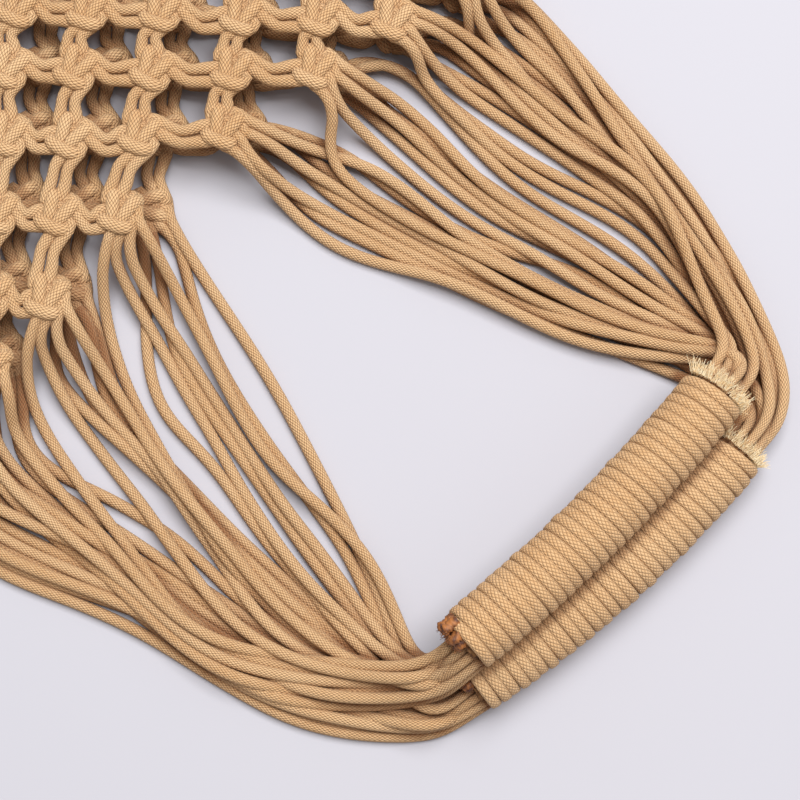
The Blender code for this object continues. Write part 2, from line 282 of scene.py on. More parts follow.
def layKnots():
    rng = random.Random(11)
    known = []
    for row in seenKnots:
        grid = gridPlace(row["column"], row["row"])
        known.append((grid, fromPhoto(*row["pixel"], net["frontLevel"])[:2] - grid))
    lowestRow = net["rows"]
    for j in range(around):
        for row in range(lowestRow):
            if (j + row) % 2 == 0:
                continue
            front = j <= half
            column = (j - half / 2) / 2 if front else (3 * half / 2 - j) / 2
            spot = gridPlace(column, row)
            inside = smooth((side - abs(spot[0])) / net["foldReach"])
            if front:
                spot = spot + seenShift(spot, known) * inside
            else:
                spot = spot + np.array([net["backShift"], 0.0]) * (1 - (spot[0] / side) ** 2)
            spot = spot + np.array([rng.uniform(-1, 1), rng.uniform(-1, 1)]) * net["jitter"] * inside
            if j in (0, half):
                out = -1.0 if j == 0 else 1.0
                place = (out * (side - net["foldInset"]), spot[1], middle)
                addKnot((j, row), place, (0, 0, -out), (0, 1, 0), (out, 0, 0), rng)
            else:
                level = net["frontLevel"] if front else net["backLevel"]
                level = middle + (level - middle) * (0.25 + 0.75 * inside)
                flip = 1.0 if front else -1.0
                addKnot((j, row), (*spot, level), (flip, 0, 0), (0, 1, 0), (0, 0, flip), rng)
    for j in range(0, half + 1, 2):
        spot = gridPlace((j - half / 2) / 2, lowestRow)
        if j in (0, half):
            spot = spot * (1 - net["foldInset"] / side, 1)
        addKnot((j, lowestRow), (*spot, middle), (1, 0, 0), (0, 0, -1), (0, 1, 0), rng)


# the knot that a corner of a knot leads to: right and bottom are 1, left and mouth are -1
def neighbour(key, right, down):
    j, row = key
    last = net["rows"]
    if row == last:
        beyond = j + right
        return (beyond, last - 1) if down < 0 else ((around - beyond) % around, last - 1)
    if row + down == last:
        beyond = j + right
        return (beyond, last) if beyond <= half else (around - beyond, last)
    return ((j + right) % around, row + down)


leaving = {}                                     # direction of the strands at each mouth knot


# middle of a run, with its direction away from the knot and the way that it faces
def runMiddle(key, right, down):
    here = knots[key]
    if key[1] == 0 and down < 0:
        x, y, out = here["axes"]
        ahead = leaving[key]
        aside = unit(x - ahead * (x @ ahead))
        spot = here["place"] + cord["diameter"] * (ahead * 1.95 + aside * right * 0.93)
        return spot, ahead, out
    there = knots[neighbour(key, right, down)]
    name = tuple(sorted((key, there["key"])))
    if name not in edges:
        a, b = here["place"], there["place"]
        spot = (a + b) / 2
        facing = unit(here["axes"][2] + there["axes"][2])
        if abs(facing[2]) > 0.9:
            rng = random.Random(repr(name))
            rising = (b[0] - a[0]) * (b[1] - a[1]) > 0
            sag = np.array([-0.766, 0.642, 0]) * net["bowDown"] if rising else (
                np.array([-0.642, -0.766, 0]) * net["bowAcross"])
            spot = spot + sag * rng.uniform(0.6, 1.3)
            spot = spot + np.array([rng.uniform(-1, 1), rng.uniform(-1, 1), 0]) * net["jitter"]
        edges[name] = (spot, facing)
    spot, facing = edges[name]
    ahead = unit(there["place"] - here["place"])
    ahead = unit(ahead - facing * (ahead @ facing))
    return spot, ahead, facing


# one cord's way through a knot, with its share of run and the way that the knot faces
def passKnot(key, name):
    here = knots[key]
    shape = tied[name]
    right = -1 if name.startswith("left") else 1
    size = cord["diameter"]
    run = shape["run"]
    thin = knot["squash"] + (1 - knot["squash"]) * run
    path = shape["path"] * np.stack([np.ones_like(run), np.ones_like(run), thin], 1)
    place = here["place"] + size * path @ here["axes"]
    faces = np.tile(here["axes"][2], (len(run), 1))
    for end, down in ((0, -1), (1, 1)):
        chosen = shape["half"] == end
        last = -1 if end else 0
        spot, ahead, facing = runMiddle(key, right, down)
        perp = np.cross(facing, ahead)
        left = np.array([-diagonal[1] * down, diagonal[0] * right, 0.0])
        centre = np.array([2.077 * right, 1.922 * down, 0.0])
        which = math.copysign(0.5, (shape["path"][last] - centre) @ left)
        target = spot + perp * which * size
        place[chosen] += run[chosen, None] * (target - place[last].copy())
        faces[chosen] += run[chosen, None] * (facing - faces[chosen])
    return place, run, faces


# the knot that a strip of the net passes in a row, and the names of its two cords there
def stripKnot(strip, row, first):
    atLeft = (strip + row) % 2 == 1
    j = strip if atLeft else strip + 1
    if atLeft:
        return j, "rightWorking" if first else "rightCore"
    return j, "leftCore" if first else "leftWorking"


def softenRuns(place, weight, rounds=3):
    for _ in range(rounds):
        mid = (place[:-2] + place[2:]) / 2
        place[1:-1] += 0.5 * weight[1:-1, None] * (mid - place[1:-1])
    return place


# one whole cord of the net: down one face, round the bottom fold and up the other face
def netCord(strip, first):
    cells = []
    for row in range(net["rows"]):
        j, name = stripKnot(strip, row, first)
        cells.append(passKnot((j, row), name))
    j, name = stripKnot(strip, net["rows"], first)
    fold = passKnot((j, net["rows"]), name)
    cut = sum(len(cell[0]) - 1 for cell in cells) + len(fold[0]) // 2
    cells.append(fold)
    own = around - 1 - strip
    for row in reversed(range(net["rows"])):
        j, name = stripKnot(own, row, not first)
        cells.append([part[::-1] for part in passKnot((j % around, row), name)])
    place, run, faces = (np.concatenate([cells[0][k]] + [cell[k][1:] for cell in cells[1:]])
                         for k in range(3))
    return softenRuns(place, run), run, faces, cut


# rings along a whole cord; in the knots it is pressed flatter and wider
def cordRings(place, run, faces):
    ring = sections(place, cord["diameter"] / 2, cord["sides"], faces[0])
    faces = faces / np.linalg.norm(faces, axis=1)[:, None]
    up = np.einsum("nsk,nk->ns", ring, faces)[..., None] * faces[:, None]
    wide = knot["fat"] + (1 - knot["fat"]) * run
    flat = knot["flatten"] + (1 - knot["flatten"]) * run
    return (ring - up) * wide[:, None, None] + up * flat[:, None, None]


# settings of the painted shade on the cords: a map of the heights of the topmost cords, and how far below it
# a point must lie to be painted fully dark
relief = {
    "cell": 0.001,
    "low": np.array([-0.20, -0.26]),
    "size": (400, 520),
    "edge": 0.0004,
    "deep": 0.0058,            # this far below its neighbours a cord is in full painted shade
    "map": None,
}


def spread(grid, reach, join):
    out = grid.copy()
    for axis in (0, 1):
        layers = [np.roll(out, step, axis) for step in range(-reach, reach + 1)]
        out = join(layers, axis=0)
    return out


# height of the topmost cords round each place, so that shade can be painted into the deep gaps between them
# and onto cords under others
def mapHeights(tubes):
    grid = np.zeros(relief["size"])
    for place, ring in tubes:
        points = (place[:, None] + ring).reshape(-1, 3)
        x, y = ((points[:, :2] - relief["low"]) / relief["cell"]).astype(int).T
        np.maximum.at(grid, (x, y), points[:, 2])
    relief["map"] = spread(spread(grid, 1, np.max), 3, np.mean)


# painted shade: from 0 on the topmost cords to 1 where a point lies deep below the cords round it
def depthOf(points):
    x, y = ((points[:, :2] - relief["low"]) / relief["cell"]).astype(int).T
    return smooth((relief["map"][x, y] - points[:, 2] + relief["edge"]) / relief["deep"])


# a mesh of many tubes; the UV map holds the way round and the way along in metres, and
# each cord has its own whole number added to the way round
def tubesMesh(name, tubes, number=0):
    points, faces, texture = [], [], []
    base = 0
    for index, (place, ring) in enumerate(tubes):
        count, sides = ring.shape[:2]
        points.append((place[:, None] + ring).reshape(-1, 3))
        a = base + (np.arange(count - 1)[:, None] * sides + np.arange(sides)[None])
        b = base + (np.arange(count - 1)[:, None] * sides + (np.arange(sides)[None] + 1) % sides)
        faces.append(np.stack([a, a + sides, b + sides, b], -1).reshape(-1, 4))
        along = lengths(place)
        u = np.arange(sides)[None] / sides + number + index + np.zeros((count - 1, 1))
        v0 = np.repeat(along[:-1, None], sides, 1)
        v1 = np.repeat(along[1:, None], sides, 1)
        du = 1 / sides
        texture.append(np.stack([np.stack([u, v0], -1), np.stack([u, v1], -1),
                                 np.stack([u + du, v1], -1), np.stack([u + du, v0], -1)], 2).reshape(-1, 2))
        base += count * sides
    points = np.vstack(points)
    points[:, 2] = np.maximum(points[:, 2], 0.0)
    faces = np.vstack(faces)
    texture = np.vstack(texture)
    mesh = bpy.data.meshes.new(name)
    mesh.vertices.add(len(points))
    mesh.vertices.foreach_set("co", points.astype(np.float32).ravel())
    mesh.loops.add(faces.size)
    mesh.loops.foreach_set("vertex_index", faces.astype(np.int32).ravel())
    mesh.polygons.add(len(faces))
    mesh.polygons.foreach_set("loop_start", np.arange(0, faces.size, 4, dtype=np.int32))
    mesh.update(calc_edges=True)
    mesh.uv_layers.new(name="cordUV").data.foreach_set("uv", texture.astype(np.float32).ravel())
    # painted shade at each point: darker in the gaps between cords and under other cords
    paintedShade = mesh.attributes.new("paintedShade", "FLOAT", "POINT")
    paintedShade.data.foreach_set("value", depthOf(points).astype(np.float32))
    mesh.shade_smooth()
    piece = bpy.data.objects.new(name, mesh)
    bpy.context.scene.collection.objects.link(piece)
    return piece


strand = {
    "rings": 84,               # in the mesh of each one
    "points": 46,              # while they settle
    "steps": 260,
    "levelFront": 0.0125,      # where they start from before they sink
    "levelBack": 0.0030,
    "rankRise": 0.0009,
    "wander": 0.0030,          # sideways waves
    "gripShrink": 0.80,        # cords are pressed together where they enter a handle
}
# where the strands of each mouth knot pass, in pixels of the photo: those nearest to the
# opening between the handles, and those furthest from it
routes = [
    {"face": "front", "column": -0.5, "inner": ((192, 317), (274, 435), (355, 553)),
     "outer": ((111, 328), (181, 468), (296, 616))},
    {"face": "front", "column": -1.5, "inner": ((122, 417), (192, 487), (303, 639)),
     "outer": ((33, 402), (100, 542), (237, 653))},
    {"face": "front", "column": -2.5, "inner": ((4, 417), (96, 535), (222, 646)),
     "outer": ((-8, 500), (104, 576), (237, 679))},
    {"face": "front", "column": -3.5, "inner": ((-20, 478), (120, 560), (270, 668)),
     "outer": ((-30, 530), (135, 612), (274, 703))},
    {"face": "front", "column": 0.5, "inner": ((334, 237), (436, 275), (586, 339)),
     "outer": ((368, 166), (466, 241), (586, 305))},
    {"face": "front", "column": 1.5, "inner": ((334, 150), (443, 233), (605, 312)),
     "outer": ((421, 90), (496, 177), (624, 263))},
    {"face": "front", "column": 2.5, "inner": ((421, 71), (511, 150), (643, 226)),
     "outer": ((481, 38), (564, 102), (658, 186))},
    {"face": "front", "column": 3.5, "inner": ((468, 38), (586, 143), (673, 233)),
     "outer": ((521, 0), (620, 115), (710, 256))},
    {"face": "back", "column": -0.5, "inner": ((229, 309), (281, 424), (355, 538)),
     "outer": ((163, 387), (222, 461), (318, 590))},
    {"face": "back", "column": -1.5, "inner": ((126, 417), (207, 513), (314, 605)),
     "outer": ((63, 387), (155, 476), (281, 605))},
    {"face": "back", "column": -2.5, "inner": ((30, 454), (148, 525), (274, 624)),
     "outer": ((-6, 502), (111, 554), (259, 654))},
    {"face": "back", "column": -3.5, "inner": ((-20, 520), (133, 598), (281, 698)),
     "outer": ((-24, 560), (142, 626), (303, 722))},
    {"face": "back", "column": 0.5, "inner": ((318, 218), (420, 262), (575, 328)),
     "outer": ((352, 150), (452, 222), (590, 290))},
    {"face": "back", "column": 1.5, "inner": ((372, 118), (480, 205), (622, 290)),
     "outer": ((430, 70), (530, 160), (660, 240))},
    {"face": "back", "column": 2.5, "inner": ((450, 60), (570, 150), (690, 250)),
     "outer": ((500, 40), (610, 130), (738, 290))},
    {"face": "back", "column": 3.5, "inner": ((520, 30), (650, 160), (752, 320)),
     "outer": ((534, 11), (672, 170), (766, 335))},
]

handle = {
    "length": 0.142,
    "diameter": 0.0265,
    "turns": 31,
    "cordWide": 0.0049,        # along the handle
    "cordThick": 0.0042,
    "boxy": 0.62,              # the turns are pressed nearly flat
    "rings": 44,               # in one turn
    "sides": 12,
    "unevenness": 0.00030,
    "bundle": 0.0150,
}
handles = {
    "front": {"x": 0.0379, "y": -0.2168, "turn": 4.45, "bow": 0.0036, "leftZ": 0.0366, "rightZ": 0.0292},
    "back": {"x": 0.0313, "y": -0.2369, "turn": 1.2, "bow": 0.0053, "leftZ": 0.01325, "rightZ": 0.01325},
}


# point, direction, across and up on a handle's axis; along runs from -1 to 1, left to right
def handleAxis(which, along):
    grip = handles[which]
    radius = handle["length"] ** 2 / (8 * grip["bow"])
    angle = along * math.asin(handle["length"] / (2 * radius))
    slope = (grip["rightZ"] - grip["leftZ"]) / handle["length"]
    local = np.array([radius * math.sin(angle), radius * (1 - math.cos(angle)), 0.0])
    local[2] = (grip["leftZ"] + grip["rightZ"]) / 2 + slope * local[0]
    c = math.cos(math.radians(grip["turn"]))
    s = math.sin(math.radians(grip["turn"]))
    turn = np.array([[c, -s, 0], [s, c, 0], [0, 0, 1]])
    direction = unit(turn @ np.array([math.cos(angle), math.sin(angle), slope]))
    across = unit(np.cross((0, 0, 1), direction))
    point = turn @ local + np.array([grip["x"], grip["y"] + net["mouthY"], 0.0])
    return point, direction, across, np.cross(direction, across)


def handleEnd(which, hand):
    point, direction, across, up = handleAxis(which, -1 if hand == "left" else 1)
    return point, (-direction if hand == "left" else direction), across, up


def strandRoot(which, hand):
    point, outward, across, up = handleEnd(which, hand)
    if hand == "left":
        shift = (handle["diameter"] - handle["bundle"]) / 2
        point = point - across * shift * 0.6 - up * shift * 0.8
    return point, outward, across, up


# key of the mouth knot of a face at a column
def mouthKey(which, column):
    j = int(round(half / 2 + 2 * column))
    return (j, 0) if which == "front" else (around - j, 0)


# first lay of all strands: their ends are right, and between them they float above each other
def layStrands(netCords):
    rng = random.Random(5)
    laid = []
    byKnot = {}
    for number, (place, run, faces, cut) in enumerate(netCords):
        tips = (("front", place[0], place[0] - place[2]), ("back", place[-1], place[-1] - place[-3]))
        for face, begin, ahead in tips:
            strip = number // 2 if face == "front" else around - 1 - number // 2
            j = strip if strip % 2 == 1 else strip + 1
            row = {"cord": number, "face": face, "begin": begin, "ahead": unit(ahead)}
            byKnot.setdefault((j, 0), []).append(row)
    for row in routes:
        key = mouthKey(row["face"], row["column"])
        hand = "left" if row["column"] < 0 else "right"
        own = sorted(byKnot[key], key=lambda one: one["begin"][0], reverse=hand == "left")
        level = 0.016 if row["face"] == "front" else 0.006
        for lane, one in enumerate(own):
            via = []
            for inner, outer in zip(row["inner"], row["outer"]):
                share = lane / 3 + rng.uniform(-0.16, 0.16)
                px = inner[0] + (outer[0] - inner[0]) * share + rng.uniform(-3, 3)
                py = inner[1] + (outer[1] - inner[1]) * share + rng.uniform(-3, 3)
                via.append(fromPhoto(px, py, level))
            one.update(via=via, hand=hand)
            laid.append(one)
    for face in ("front", "back"):
        for hand in ("left", "right"):
            point, outward, across, up = strandRoot(face, hand)
            group = [one for one in laid if one["face"] == face and one["hand"] == hand]
            group.sort(key=lambda one: (one["via"][2] - point) @ across)
            seats = []
            for count, radius in ((1, 0.0), (5, 0.0037), (10, 0.0069)):
                for k in range(count):
                    angle = 2 * math.pi * (k + 0.3 * count) / count
                    seats.append((math.cos(angle) * radius, math.sin(angle) * radius))
            seats.sort()
            for one, (a, b) in zip(group, seats):
                one.update(seat=across * a + up * b, root=point, outward=outward)
    rng.shuffle(laid)
    laid.sort(key=lambda one: one["face"] == "front")
    for rank, one in enumerate(laid):
        front = one["face"] == "front"
        entry = one["root"] + one["seat"]
        out = one["outward"]
        guides = [one["begin"], one["begin"] + one["ahead"] * 0.009, *one["via"],
                  entry + out * 0.020, entry + out * 0.006, entry - out * 0.008]
        curve = resample(throughPoints(guides), 120)
        t = np.linspace(0, 1, 120)
        tangent = np.gradient(curve, axis=0)
        aside = np.stack([-tangent[:, 1], tangent[:, 0], 0 * t], 1)
        aside /= np.linalg.norm(aside, axis=1)[:, None]
        wave = sum(rng.uniform(-1, 1) * np.sin(math.pi * n * t + rng.uniform(0, 6.3)) / n ** 0.7
                   for n in (2, 3, 5))
        curve = curve + aside * (wave * strand["wander"] * np.sin(math.pi * t) ** 0.8)[:, None]
        level = strand["levelFront"] if front else strand["levelBack"]
        level += (rank - (32 if front else 0)) * strand["rankRise"]
        z = level + (one["begin"][2] - level) * (1 - smooth(t / 0.15))
        curve[:, 2] = z + (curve[:, 2] - z) * smooth((t - 0.78) / 0.14)
        one["path"] = resample(curve, strand["points"])
    return laid


contact = {"apart": 1.0, "bend": 0.24, "sink": 0.00022, "hold": 0.08, "aside": 0.34, "pile": 0.6}


# strands fall on the floor and on each other and keep their thickness apart
def settle(laid):
    points = np.array([one["path"] for one in laid])
    home = points.copy()
    many, count = points.shape[:2]
    rest = np.linalg.norm(np.diff(points, axis=1), axis=2)
    free = np.ones((many, count, 1))
    free[:, :2] = 0
    free[:, -3:] = 0
    size = cord["diameter"] * contact["apart"]
    owner = np.repeat(np.arange(many), count)
    rank = owner
    spot = np.tile(np.arange(count), many)
    entering = spot > count - 6
    axes = {which: np.array([handleAxis(which, a)[0] for a in np.linspace(-1, 1, 15)]) for which in handles}
    for turn in range(strand["steps"]):
        points[..., 2] -= contact["sink"] * free[..., 0]
        points[..., :2] += contact["hold"] * (home - points)[..., :2] * free
        mid = (points[:, :-2] + points[:, 2:]) / 2
        points[:, 1:-1] += contact["bend"] * (mid - points[:, 1:-1]) * free[:, 1:-1]
        for _ in range(3):
            step = np.diff(points, axis=1)
            size1 = np.linalg.norm(step, axis=2)
            fix = step * ((size1 - rest) / size1 * 0.25)[..., None]
            points[:, :-1] += fix * free[:, :-1]
            points[:, 1:] -= fix * free[:, 1:]
        flat = points.reshape(-1, 3)
        near = flat.astype(np.float32)
        square = (near ** 2).sum(1)
        gap = square[:, None] + square[None] - 2 * near @ near.T
        a, b = np.nonzero(gap < size ** 2)
        keep = (owner[a] < owner[b]) & ~(entering[a] & entering[b])
        a, b = a[keep], b[keep]
        apart = flat[a] - flat[b]
        far = np.linalg.norm(apart, axis=1) + 1e-9
        apart[:, 2] += np.sign(rank[a] - rank[b]) * contact["pile"] * size
        apart *= (far / np.linalg.norm(apart, axis=1))[:, None]
        push = apart / far[:, None] * ((size - far) * 0.5)[:, None]
        move = np.zeros_like(flat)
        hits = np.zeros(len(flat))
        np.add.at(move, a, push)
        np.add.at(move, b, -push)
        np.add.at(hits, a, 1)
        np.add.at(hits, b, 1)
        move *= (1.3 / np.maximum(hits, 1) ** 0.5)[:, None]
        move[:, :2] *= contact["aside"]
        flat = flat + move * free.reshape(-1, 1)
        for which, axis in axes.items():
            apart = flat[:, None] - axis[None]
            far = np.linalg.norm(apart, axis=2)
            nearest = far.argmin(1)
            apart = flat - axis[nearest]
            direction = unit(axis[-1] - axis[0])
            apart -= direction * (apart @ direction)[:, None]
            far = np.linalg.norm(apart, axis=1) + 1e-9
            along = (flat - axis[7]) @ direction
            least = handle["diameter"] / 2 + cord["diameter"] / 2
            hit = (far < least) & (np.abs(along) < handle["length"] / 2 + 0.002) & ~entering
            flat[hit] += apart[hit] / far[hit, None] * (least - far[hit])[:, None] * 0.6
        flat[:, 2] = np.maximum(flat[:, 2], cord["diameter"] / 2)
        points = flat.reshape(many, count, 3) * free + home * (1 - free)
    for one, path in zip(laid, points):
        one["path"] = path


# the settled strand as a smooth path from the net to the handle
def strandPath(one):
    path = resample(throughPoints(one["path"], 4), strand["rings"])
    return softenRuns(path, np.ones(len(path)), 8)


# cord wound round a handle
def wrapTube(which, rng):
    turns = handle["turns"]
    count = turns * handle["rings"]
    t = np.linspace(0, turns, count + 1)
    shifts = np.array([rng.uniform(-1, 1) for _ in range(turns * 2 + 2)])
    lifts = np.array([rng.uniform(-1, 1) for _ in range(turns * 2 + 2)])
    uneven = np.interp(t * 2, np.arange(len(shifts)), shifts)
    lift = np.interp(t * 2, np.arange(len(lifts)), lifts)
    pitch = handle["length"] / turns
    inset = pitch / 2 / (handle["length"] / 2)
    theta = np.arange(handle["sides"]) * 2 * math.pi / handle["sides"]
    radius0 = (handle["diameter"] - handle["cordThick"]) / 2
    path = []
    radial = []
    for k, value in enumerate(t):
        along = -1 + inset + (2 - 2 * inset) * value / turns + uneven[k] * handle["unevenness"] / 0.071
        point, direction, across, up = handleAxis(which, float(np.clip(along, -1, 1)))
        angle = 2 * math.pi * value
        out = across * math.cos(angle) + up * math.sin(angle)
        tuck = 0.0016 * (1 - smooth(value / 0.25) + smooth((value - turns + 0.25) / 0.25))
        path.append(point + out * (radius0 - tuck + lift[k] * handle["unevenness"]))
        radial.append(out)
    path = np.array(path)
    radial = np.array(radial)
    tangent = np.gradient(path, axis=0)
    tangent /= np.linalg.norm(tangent, axis=1)[:, None]
    aside = np.cross(radial, tangent)
    flat = np.sign(np.cos(theta)) * np.abs(np.cos(theta)) ** handle["boxy"]
    wide = np.sign(np.sin(theta)) * np.abs(np.sin(theta)) ** handle["boxy"]
    ring = (flat[None, :, None] * radial[:, None] * handle["cordThick"] / 2
            + wide[None, :, None] * aside[:, None] * handle["cordWide"] / 2)
    return path, ring


fibre = {"tufts": 17, "perTuft": 26, "length": 0.0062, "thick": 0.00019}


def fibreTube(start, direction, lengthOf, curl, thick, rng):
    sideways = unit(np.cross(direction, (0.3, 0.5, 0.8)))
    t = np.linspace(0, 1, 5)[:, None]
    curled = sideways * curl[0] + np.cross(direction, sideways) * curl[1]
    path = start + direction * lengthOf * t + curled * t ** 2
    return path, sections(path, thick * (1 - 0.6 * t[:, 0]), 3, sideways)


# frayed cord ends that fan out round the right end of a handle
def frayTubes(which, rng):
    point, outward, across, up = handleEnd(which, "right")
    tubes = []
    for tuft in range(fibre["tufts"]):
        angle = 2 * math.pi * (tuft + rng.uniform(-0.25, 0.25)) / fibre["tufts"]
        radial = across * math.cos(angle) + up * math.sin(angle)
        lean = rng.uniform(0.15, 0.75)
        centre = point + radial * rng.uniform(0.0092, 0.0112) - outward * 0.0015
        big = rng.uniform(0.75, 1.15)
        for _ in range(fibre["perTuft"]):
            a = rng.uniform(0, 2 * math.pi)
            r = math.sqrt(rng.random()) * 0.0020
            around1 = np.cross(outward, radial)
            start = centre + (radial * math.cos(a) + around1 * math.sin(a)) * r
            direction = outward + radial * (lean + 0.28 * math.cos(a)) + around1 * (0.38 * math.sin(a))
            direction = unit(direction + np.array([rng.gauss(0, 0.10) for _ in range(3)]))
            size = fibre["length"] * big * rng.uniform(0.6, 1.15)
            curl = (rng.gauss(0, 0.0010), rng.gauss(0, 0.0010))
            path, ring = fibreTube(start, direction, size, curl, fibre["thick"], rng)
            path[:, 2] = np.maximum(path[:, 2], 0.0004)
            tubes.append((path, ring))
    return tubes


stub = {
    "diameter": 0.0105,
    "ends": 8,
    "length": 0.0042,
    "cord": 0.0044,
    "rough": 0.0005,
    "wide": 0.0050,
    "tall": 0.0030,
}


# cut cord ends, stuck together with dark glue, at the left end of a handle
def stubTubes(which, rng):
    point, outward, across, up = handleEnd(which, "left")
    shift = (handle["diameter"] - stub["diameter"]) / 2
    centre = point + across * shift * 0.6 + up * shift * 0.8
    tubes = []
    for k in range(stub["ends"]):
        angle = 2 * math.pi * k / (stub["ends"] - 1)
        r = 0.0 if k == stub["ends"] - 1 else 1.0
        start = centre - outward * 0.004
        start = start + across * math.cos(angle) * stub["wide"] * r
        start = start + up * math.sin(angle) * stub["tall"] * r
        size = stub["length"] * rng.uniform(0.7, 1.15) + 0.004
        t = np.linspace(0, 1, 16)
        path = start + outward * (t * size)[:, None]
        close = np.sqrt(np.clip(1 - smooth((t - 0.72) / 0.28) ** 2, 0.0, 1))
        path += across * rng.uniform(-0.0004, 0.0004)
        ring = sections(path, stub["cord"] / 2 * np.maximum(close, 0.02), 12, up)
        bump = np.array([[rng.uniform(-1, 1) for _ in range(12)] for _ in t]) * stub["rough"]
        length = np.linalg.norm(ring, axis=2, keepdims=True)
        ring = ring * (1 + bump[..., None] / np.maximum(length, 0.0008) * (length / (stub["cord"] / 2)))
        tubes.append((path, ring))
    for _ in range(60):
        a = rng.uniform(0, 2 * math.pi)
        r = math.sqrt(rng.random()) * stub["diameter"] / 2
        start = centre + (across * math.cos(a) + up * math.sin(a)) * r + outward * 0.002
        direction = unit(outward + (across * math.cos(a) + up * math.sin(a)) * rng.uniform(0.1, 0.7))
        tubes.append(fibreTube(start, direction, rng.uniform(0.0015, 0.0034),
                               (rng.gauss(0, 0.0006), rng.gauss(0, 0.0006)), 0.00022, rng))
    return tubes


def socket(group, name, kind, out=False, value=None):
    made = group.interface.new_socket(name=name, in_out="OUTPUT" if out else "INPUT", socket_type=kind)
    if value is not None:
        made.default_value = value
    return made


class Graph:
    def __init__(self, tree):
        self.tree = tree

    def add(self, kind, **settings):
        node = self.tree.nodes.new(kind)
        for key, value in settings.items():
            setattr(node, key, value)
        return node

    def put(self, node, index, value):
        if isinstance(value, bpy.types.NodeSocket):
            self.tree.links.new(value, node.inputs[index])
        elif value is not None:
            node.inputs[index].default_value = value

    def math(self, what, a, b=None, c=None):
        node = self.add("ShaderNodeMath", operation=what)
        for index, value in enumerate((a, b, c)):
            self.put(node, index, value)
        return node.outputs[0]

    def mix(self, share, a, b):
        node = self.add("ShaderNodeMix", data_type="RGBA")
        self.put(node, 0, share)
        self.put(node, 6, a)
        self.put(node, 7, b)
        return node.outputs[2]

    def ramp(self, value, low, high):
        node = self.add("ShaderNodeMapRange", interpolation_type="SMOOTHSTEP")
        self.put(node, 0, value)
        self.put(node, 1, low)
        self.put(node, 2, high)
        return node.outputs[0]

    def noise(self, vector, scale, detail=2.0):
        node = self.add("ShaderNodeTexNoise")
        self.put(node, "Vector", vector)
        node.inputs["Scale"].default_value = scale
        node.inputs["Detail"].default_value = detail
        return node.outputs["Fac"]


# the braid of a cord: yarns that wind both ways and pass over and under each other
def braidGroup():
    tree = bpy.data.node_groups.new("braided cotton", "ShaderNodeTree")
    socket(tree, "Around", "NodeSocketFloat", value=0.0)
    socket(tree, "Along", "NodeSocketFloat", value=0.0)
    socket(tree, "Yarns", "NodeSocketFloat", value=8.0)
    socket(tree, "Stitch", "NodeSocketFloat", value=0.0028)
    socket(tree, "Height", "NodeSocketFloat", out=True)
    socket(tree, "Pit Shade", "NodeSocketFloat", out=True)
    socket(tree, "Yarn Tone", "NodeSocketFloat", out=True)
    g = Graph(tree)
    entry = g.add("NodeGroupInput")
    leave = g.add("NodeGroupOutput")
    turns = g.math("MULTIPLY", entry.outputs["Around"], entry.outputs["Yarns"])
    steps = g.math("DIVIDE", entry.outputs["Along"], entry.outputs["Stitch"])
    a = g.math("ADD", turns, steps)
    b = g.math("SUBTRACT", turns, steps)
    cellA = g.math("FLOOR", a)
    cellB = g.math("FLOOR", b)
    partA = g.math("SUBTRACT", a, cellA)
    partB = g.math("SUBTRACT", b, cellB)
    sum1 = g.math("ADD", cellA, cellB)
    both = g.math("MULTIPLY", sum1, 0.5)
    odd = g.math("MULTIPLY", g.math("SUBTRACT", both, g.math("FLOOR", both)), 2.0)
    # across a yarn its surface is round, and along it it rises between the crossings
    roundA = g.math("SINE", g.math("MULTIPLY", partA, math.pi))
    roundB = g.math("SINE", g.math("MULTIPLY", partB, math.pi))
    upA = g.math("MULTIPLY", g.math("POWER", roundA, 0.6), g.math("POWER", roundB, 0.35))
    upB = g.math("MULTIPLY", g.math("POWER", roundB, 0.6), g.math("POWER", roundA, 0.35))
    mixed = g.add("ShaderNodeMix", data_type="FLOAT")
    g.put(mixed, 0, odd)
    g.put(mixed, 2, upA)
    g.put(mixed, 3, upB)
    height = mixed.outputs[0]
    g.put(leave, "Height", height)
    # painted shade in the pits of the braid, the low places between the yarns
    g.put(leave, "Pit Shade", g.ramp(height, 0.62, 0.18))
    spot = g.add("ShaderNodeCombineXYZ")
    g.put(spot, 0, cellA)
    g.put(spot, 1, cellB)
    grain = g.add("ShaderNodeTexWhiteNoise", noise_dimensions="3D")
    g.put(grain, 0, spot.outputs[0])
    g.put(leave, "Yarn Tone", grain.outputs["Value"])
    return tree


# larger changes of tone along the cords, from cord to cord, and the fine cotton fibres
def cottonGroup():
    tree = bpy.data.node_groups.new("cotton tone", "ShaderNodeTree")
    socket(tree, "Around", "NodeSocketFloat", value=0.0)
    socket(tree, "Along", "NodeSocketFloat", value=0.0)
    socket(tree, "Tone", "NodeSocketFloat", out=True)
    socket(tree, "Fibres", "NodeSocketFloat", out=True)
    g = Graph(tree)
    entry = g.add("NodeGroupInput")
    leave = g.add("NodeGroupOutput")
    spot = g.add("ShaderNodeTexCoord")
    whole = g.math("FLOOR", entry.outputs["Around"])
    own = g.add("ShaderNodeTexWhiteNoise", noise_dimensions="1D")
    g.put(own, 1, whole)
    wide = g.noise(spot.outputs["Object"], 38.0, 2.0)
    tone = g.math("ADD", g.math("MULTIPLY", own.outputs["Value"], 0.55), g.math("MULTIPLY", wide, 0.9))
    g.put(leave, "Tone", g.math("SUBTRACT", tone, 0.22))
    stretched = g.add("ShaderNodeCombineXYZ")
    g.put(stretched, 0, g.math("MULTIPLY", entry.outputs["Around"], 60.0))
    g.put(stretched, 1, g.math("MULTIPLY", entry.outputs["Along"], 900.0))
    g.put(leave, "Fibres", g.noise(stretched.outputs[0], 1.0, 3.0))
    return tree


def srgb(*values):
    out = [(v / 255 / 12.92 if v <= 10 else ((v / 255 + 0.055) / 1.055) ** 2.4) for v in values]
    return (*out, 1.0)


